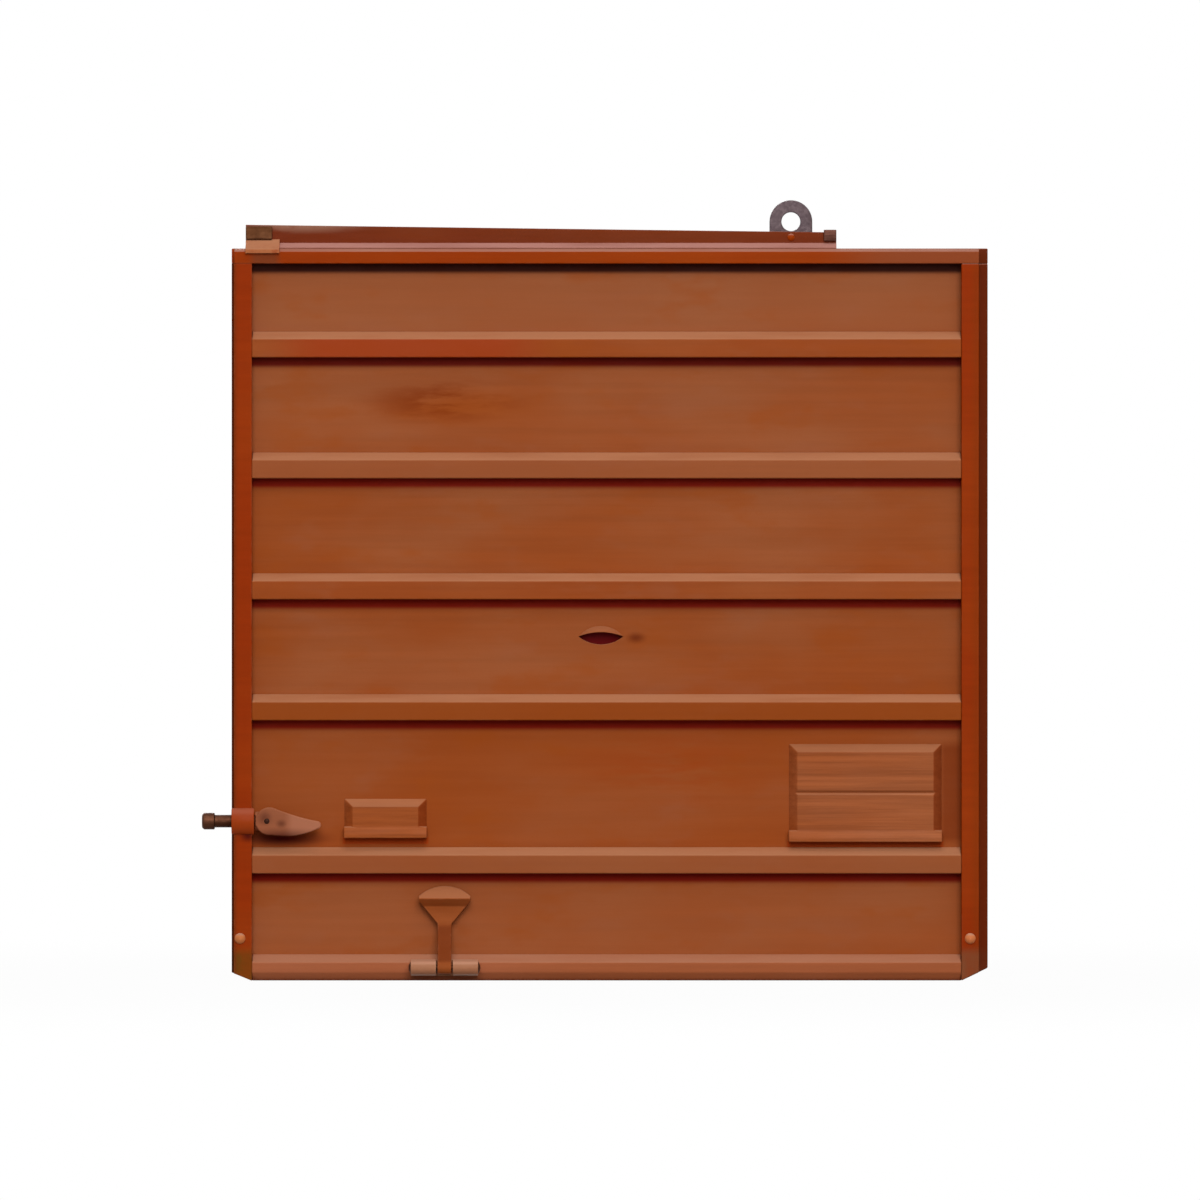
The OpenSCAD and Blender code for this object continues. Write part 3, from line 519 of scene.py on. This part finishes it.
# Edge radii, in millimetres
PIN_EDGE = 0.04
SHEET_EDGE = 0.05
SMALL_EDGE = 0.06
THIN_EDGE = 0.08
BAR_EDGE = 0.1
EYE_EDGE = 0.2


def shaped(node):
    """The shape of a CAD node as one clean mesh, with no seams and no flat faces cut up."""
    bm = bmesh.new()
    bm.from_mesh(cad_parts[node].data)
    bmesh.ops.remove_doubles(bm, verts=bm.verts, dist=WELD * MM)
    flat = math.radians(0.5)
    bmesh.ops.dissolve_limit(bm, angle_limit=flat, verts=bm.verts, edges=bm.edges)
    return bm


def off_small_rims(edge, facet=0.12):
    """True for an edge that isn't a facet of a small hole's rim, which a fastener fills."""
    return edge.calc_length() > facet * MM


def clear_of_pin(edge, margin=0.1):
    """True for an edge that isn't on the rim of the thumb pin's hole, which the pin fills."""
    def near(place):
        return (PIN_LOW.x - margin < place.x < PIN_HIGH.x + margin
                and PIN_LOW.z - margin < place.z < PIN_HIGH.z + margin)
    return not all(near(v.co / MM) for v in edge.verts)


def round_leaf(edge):
    """True for an edge round the front face of the thumb piece."""
    middle = (THUMB_LOW.y + THUMB_HIGH.y) / 2 * MM
    front = any(face.normal.y < -0.9 and face.calc_center_median().y < middle for face in edge.link_faces)
    return front and clear_of_pin(edge)


def ease(bm, radius, segments, only, sharp=math.radians(30)):
    """Rounds the sharp edges, or only some of them, as paint and handling do.

    The shortest edge limits the radius all over a piece. The leaf's outline is cut into short facets,
    but has the room, so the limit is off there.
    """
    corners = [e for e in bm.edges if len(e.link_faces) == 2 and e.calc_face_angle() > sharp]
    if only is not None:
        corners = [e for e in corners if only(e)]
    bmesh.ops.bevel(bm, geom=corners, offset=radius * MM, offset_type="OFFSET", segments=segments,
                    profile=0.5, affect="EDGES", clamp_overlap=only is not round_leaf)
    bmesh.ops.remove_doubles(bm, verts=bm.verts, dist=WELD * MM)
    bmesh.ops.dissolve_degenerate(bm, edges=bm.edges, dist=WELD * MM)


def open_grain(bm, depth=0.02, strip=0.1, length=0.6, along=0.22, across=3.1):
    """Presses wood grain into the front face of a board, with so many features to the millimetre."""
    low = Vector(min(v.co[i] for v in bm.verts) for i in range(3))
    high = Vector(max(v.co[i] for v in bm.verts) for i in range(3))
    for axis, step in ((2, strip * MM), (0, length * MM)):
        normal = Vector(1.0 if i == axis else 0.0 for i in range(3))
        for cut in range(1, int((high[axis] - low[axis]) / step)):
            plane = low + normal * cut * step
            whole = bm.verts[:] + bm.edges[:] + bm.faces[:]
            bmesh.ops.bisect_plane(bm, geom=whole, dist=WELD / 2 * MM, plane_co=plane, plane_no=normal)
    bm.normal_update()
    front = [v for v in bm.verts if v.normal.y < -0.98]
    for v in front:
        place = v.co / MM
        fibre = noise.noise((along * place.x, 0.0, across * place.z))
        v.co.y += depth * MM * (0.5 + 0.5 * fibre)


def dress(node, radius, finish, body="door", segments=3, only=None, carve=None, crease=42):
    """The visible piece for a CAD node: its shape with eased edges, in its finish."""
    bm = shaped(node)
    ease(bm, radius, segments, only)
    if carve is not None:
        carve(bm)
    for face in bm.faces:
        face.smooth = True
    mesh = bpy.data.meshes.new(node + "_dressed")
    bm.to_mesh(mesh)
    bm.free()
    mesh.set_sharp_from_angle(angle=math.radians(crease))
    mesh.materials.append(finish)
    piece = bpy.data.objects.new(node + "_dressed", mesh)
    bpy.context.scene.collection.objects.link(piece)
    flats = piece.modifiers.new("flats", "WEIGHTED_NORMAL")
    flats.keep_sharp = True
    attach(piece, body)
    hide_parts(node)


dress("door_sheet", SHEET_EDGE, sheet_paint)
for rib in RIBS:
    dress(rib, BAR_EDGE, rib_paint)
dress("bottom_rail", BAR_EDGE, sill_paint)
dress("top_rail", THIN_EDGE, rail_paint)
dress("left_stile", BAR_EDGE, frame_paint, only=off_small_rims)
dress("right_stile", BAR_EDGE, frame_paint, only=off_small_rims)
dress("stile_bolts", SMALL_EDGE, head_paint)
dress("placard_board", THIN_EDGE, board_paint, carve=open_grain)
dress("routing_board", THIN_EDGE, board_paint, carve=open_grain)
dress("finger_pull", SMALL_EDGE, hood_paint)
dress("latch_guide", BAR_EDGE, guide_paint)
dress("latch_bolt", SMALL_EDGE, bolt_steel, "bolt", only=clear_of_pin)
dress("thumb_piece", BAR_EDGE, thumb_paint, "bolt", only=round_leaf)
dress("thumb_pin", PIN_EDGE, dark_steel, "bolt")
dress("lever_bracket", THIN_EDGE, worn_paint)
dress("lift_lever", BAR_EDGE, lever_paint, "lever")
dress("lever_pin", PIN_EDGE, bolt_steel)
dress("hanger_bar", THIN_EDGE, hanger_paint, only=off_small_rims)
dress("hanger_eye", EYE_EDGE, eye_steel, segments=4)
dress("eye_rivet", SHEET_EDGE, rail_paint)
dress("hanger_clip", SMALL_EDGE, clip_paint)
dress("left_stop", SMALL_EDGE, brown_steel)
dress("right_stop", SMALL_EDGE, stop_steel)


def background_rays(tree):
    """1 for the rays that show the background to the camera or in a reflection, 0 for light."""
    path = tree.nodes.new("ShaderNodeLightPath")
    seen = path.outputs["Is Camera Ray"]
    for kind in ("Is Glossy Ray", "Is Transmission Ray"):
        either = tree.nodes.new("ShaderNodeMath")
        either.operation = "MAXIMUM"
        tree.links.new(seen, either.inputs[0])
        tree.links.new(path.outputs[kind], either.inputs[1])
        seen = either.outputs[0]
    return seen


def studio_floor(size=1.6, drop=0.02 * MM, near=0.97, fade_start=0.03, fade_end=0.15):
    """White paper under the door. It keeps a faint shadow and fades to plain white further off.

    near is the share of plain white at the door. The lengths are in metres.
    """
    mesh = bpy.data.meshes.new("floor")
    half = size / 2
    corners = [(x * half, y * half, -drop) for x, y in ((-1, -1), (1, -1), (1, 1), (-1, 1))]
    mesh.from_pydata(corners, [], [(0, 1, 2, 3)])
    floor = bpy.data.objects.new("floor", mesh)
    bpy.context.scene.collection.objects.link(floor)
    f = Finish("paper")
    fibres = f.ramp(f.noise((0.4, 0.4, 0.4), detail=6), 0.3, 0.7)
    grey = f.blend(fibres, (0.39, 0.39, 0.39), (0.41, 0.41, 0.41))
    f.close(grey, 0.9, f.relief(fibres, 0.01), metal=0.0, shine=0.0)
    away = f.node("ShaderNodeVectorMath", operation="LENGTH")
    f.put(f.place, away.inputs[0])
    glow = f.node("ShaderNodeEmission")
    mix = f.node("ShaderNodeMixShader")
    share = f.ramp(away.outputs["Value"], fade_start, fade_end, near, 1.0)
    f.put(f.times(background_rays(f.tree), share), mix.inputs[0])
    f.put(f.surface.outputs[0], mix.inputs[1])
    f.put(glow.outputs[0], mix.inputs[2])
    f.put(mix.outputs[0], f.tree.nodes["Material Output"].inputs["Surface"])
    mesh.materials.append(f.material)


def studio_world(fill):
    """Even light from all round, which the eye and mirrors see as plain white."""
    world = bpy.data.worlds.new("studio")
    bpy.context.scene.world = world
    world.use_nodes = True
    tree = world.node_tree
    room = tree.nodes["Background"]
    room.inputs["Color"].default_value = (1, 1, 1, 1)
    room.inputs["Strength"].default_value = fill
    white = tree.nodes.new("ShaderNodeBackground")
    white.inputs["Color"].default_value = (1, 1, 1, 1)
    mix = tree.nodes.new("ShaderNodeMixShader")
    tree.links.new(background_rays(tree), mix.inputs[0])
    tree.links.new(room.outputs[0], mix.inputs[1])
    tree.links.new(white.outputs[0], mix.inputs[2])
    tree.links.new(mix.outputs[0], tree.nodes["World Output"].inputs["Surface"])


DOOR_MIDDLE = Vector((0, 0, 30 * MM))


def lamp(name, towards, distance, size, power):
    """A square soft lamp that faces the middle of the door from the direction given."""
    direction = Vector(towards).normalized()
    light = bpy.data.lights.new(name, "AREA")
    light.size = size
    light.energy = power
    fixture = bpy.data.objects.new(name, light)
    fixture.location = DOOR_MIDDLE + direction * distance
    fixture.rotation_euler = (-direction).to_track_quat("-Z", "Y").to_euler()
    bpy.context.scene.collection.objects.link(fixture)


studio_floor()
studio_world(fill=0.27)
lamp("key", towards=(0.08, -1, 0.52), distance=0.9, size=0.6, power=6.4)
lamp("top", towards=(0, -0.35, 1), distance=0.7, size=0.4, power=1.0)
lamp("back", towards=(-0.25, 1, 0.35), distance=0.9, size=0.32, power=4.8)

# The camera looks straight at the door. The picture is FRAME_WIDTH wide at FRAME_DEPTH before the origin.
DISTANCE = 1.0
FRAME_WIDTH = 95.24 * MM
FRAME_DEPTH = 1.2 * MM
AIM_X = -0.77 * MM
AIM_Z = 30.2 * MM
SENSOR = 36
data = bpy.data.cameras.new("camera")
data.sensor_width = SENSOR
data.lens = SENSOR * (DISTANCE - FRAME_DEPTH) / FRAME_WIDTH
camera = bpy.data.objects.new("camera", data)
camera.location = (AIM_X, -DISTANCE, AIM_Z)
camera.rotation_euler = (math.radians(90), 0, 0)
bpy.context.scene.collection.objects.link(camera)
bpy.context.scene.camera = camera
bpy.context.scene.view_settings.view_transform = "Standard"
